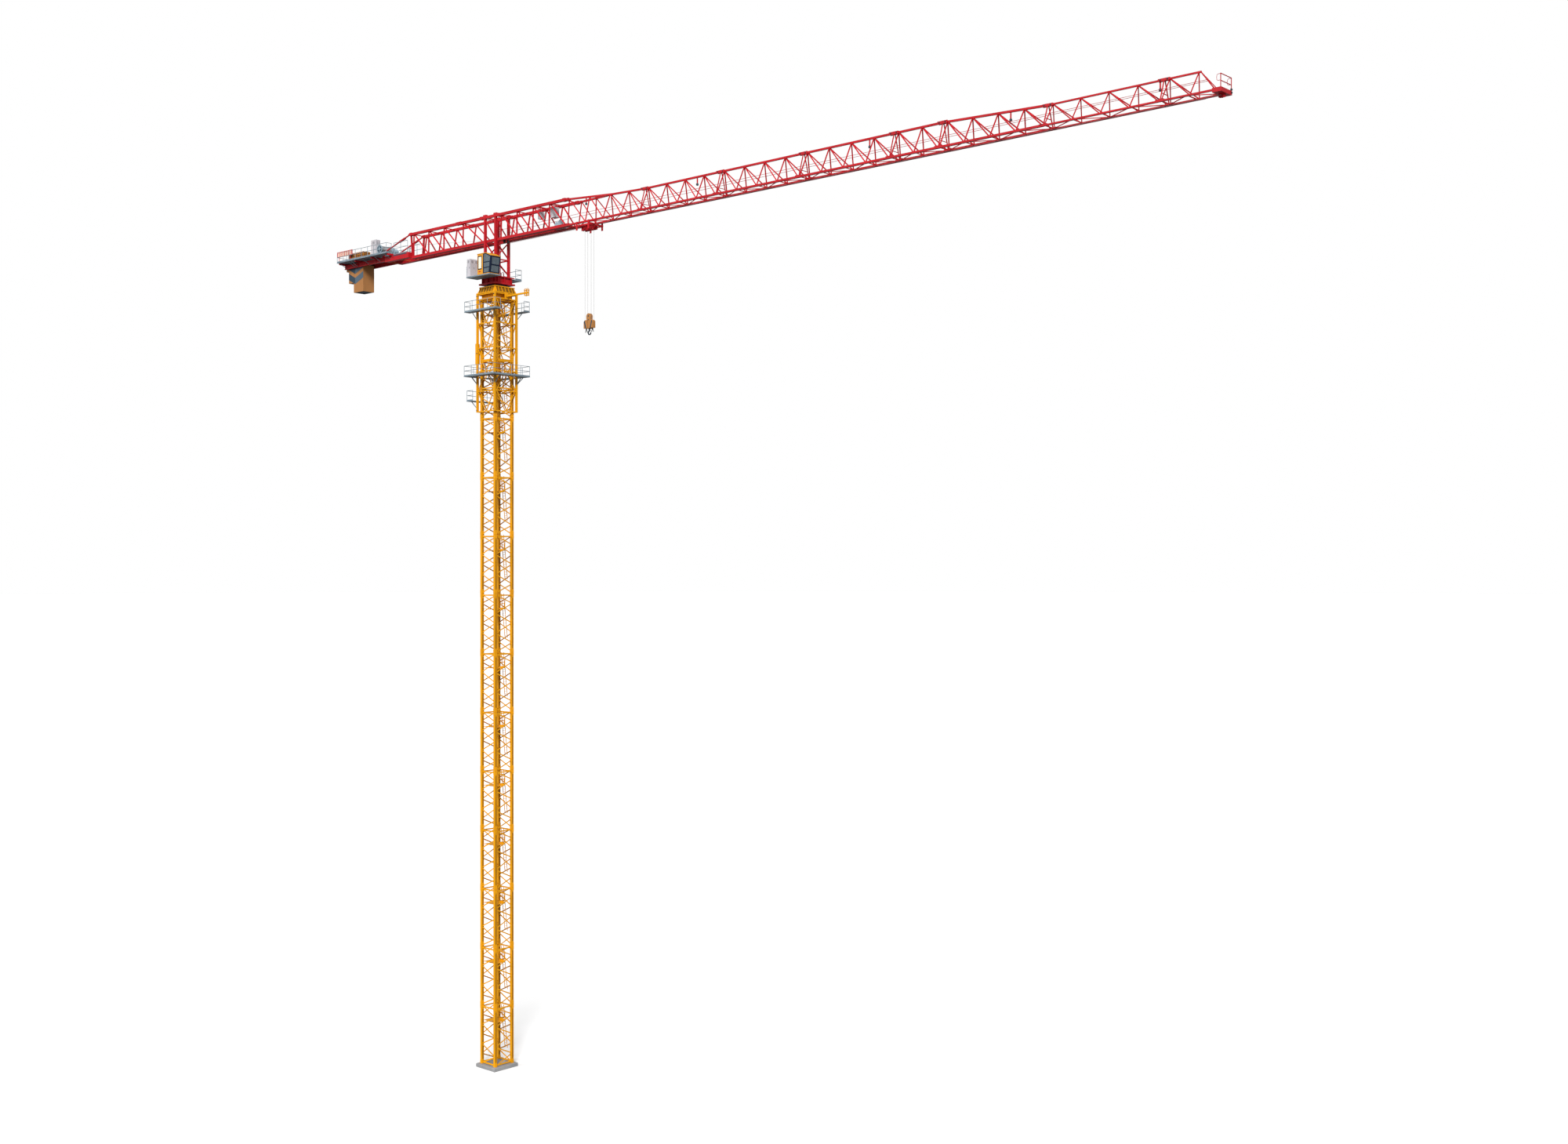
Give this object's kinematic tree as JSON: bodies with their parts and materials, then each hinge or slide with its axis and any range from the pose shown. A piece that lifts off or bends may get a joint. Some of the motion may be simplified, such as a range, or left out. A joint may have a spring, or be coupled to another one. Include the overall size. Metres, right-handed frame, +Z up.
{
  "type": "flat-top tower crane, 1:10 scale model",
  "caption": "Flat-top tower crane on a lattice mast with climbing cage, cab, long jib, ballasted counter-jib, travelling trolley and hook block; a 1:10 scale model.",
  "frame": {"origin": "on the mast axis, on the underside of the foundation slab", "axes": "+X along the jib from the mast to the jib tip, +Z up, cab on the -Y side"},
  "size_m": [10.873, 0.517, 8.8494],
  "materials": {
    "ballast_brown": "matt brown-orange paint",
    "cab_frame": "satin navy paint",
    "cab_glass": "tinted glass",
    "cab_yellow": "gloss yellow paint",
    "cabinet_white": "satin grey-white paint",
    "concrete": "bare grey concrete",
    "crane_red": "satin red paint",
    "dark_steel": "dark oiled steel",
    "galvanised": "blue-grey galvanised steel",
    "hook_orange": "satin orange-brown paint",
    "mast_yellow": "satin yellow-orange paint",
    "resistor_orange": "satin orange-brown paint",
    "rope_steel": "greased wire rope",
    "winch_grey": "satin blue-grey paint"
  },
  "bodies": {
    "mast_body": {"cage_far_side": "mast_yellow", "cage_front_side": "mast_yellow", "cage_near_side": "mast_yellow", "cage_rear_side": "mast_yellow", "climbing_cylinder": "mast_yellow", "feeding_beam": "mast_yellow", "foundation_slab": "concrete", "lower_platform": "galvanised", "mast_section_01": "mast_yellow", "mast_section_02": "mast_yellow", "mast_section_03": "mast_yellow", "mast_section_04": "mast_yellow", "mast_section_05": "mast_yellow", "mast_section_06": "mast_yellow", "mast_section_07": "mast_yellow", "mast_section_08": "mast_yellow", "mast_section_09": "mast_yellow", "mast_section_10": "mast_yellow", "mast_section_11": "mast_yellow", "mast_section_12": "mast_yellow", "mast_section_13": "mast_yellow", "middle_platform": "galvanised", "slew_ring": "dark_steel", "slewing_support": "mast_yellow", "upper_platform": "galvanised"},
    "upper_works": {"ballast_block_1": "ballast_brown", "ballast_block_2": "ballast_brown", "ballast_block_3": "ballast_brown", "cab_frames": "cab_frame", "cab_glass": "cab_glass", "cab_platform": "galvanised", "cab_shell": "cab_yellow", "control_cabinet": "cabinet_white", "counter_deck": "galvanised", "counter_girders": "crane_red", "counter_jib_section_1": "crane_red", "counter_jib_section_2": "crane_red", "hoist_winch": "winch_grey", "jib_end_section": "crane_red", "jib_falling_section": "crane_red", "jib_low_section": "crane_red", "jib_merging_section": "crane_red", "jib_root_section": "crane_red", "jib_section_1": "crane_red", "jib_section_2": "crane_red", "jib_section_3": "crane_red", "jib_short_section": "crane_red", "jib_tip": "crane_red", "resistor_boxes": "resistor_orange", "side_platform": "galvanised", "sign_panel": "crane_red", "slewing_platform": "crane_red", "slewing_tower": "crane_red", "tie_bars": "crane_red", "winch_cabinet": "cabinet_white"},
    "trolley_car": {"hoist_falls": "rope_steel", "trolley": "crane_red"},
    "block": {"hook_block": "hook_orange"},
    "swivel_hook": {"hook": "dark_steel"}
  },
  "joints": [
    {"name": "slew", "type": "hinge", "parent": "mast_body", "child": "upper_works", "pos_m": [0, 0, 8.09], "axis": [0, 0, 1], "continuous": true},
    {"name": "trolley_travel", "type": "slide", "parent": "upper_works", "child": "trolley_car", "axis": [1, 0, 0], "range_m": [-0.86, 6.46]},
    {"name": "hoist", "type": "slide", "parent": "trolley_car", "child": "block", "axis": [0, 0, 1], "range_m": [-7.39, 0.7], "deforming": ["hoist_falls"]},
    {"name": "hook_swivel", "type": "hinge", "parent": "block", "child": "swivel_hook", "pos_m": [1.44, 0, 7.506], "axis": [0, 0, 1], "continuous": true}
  ]
}
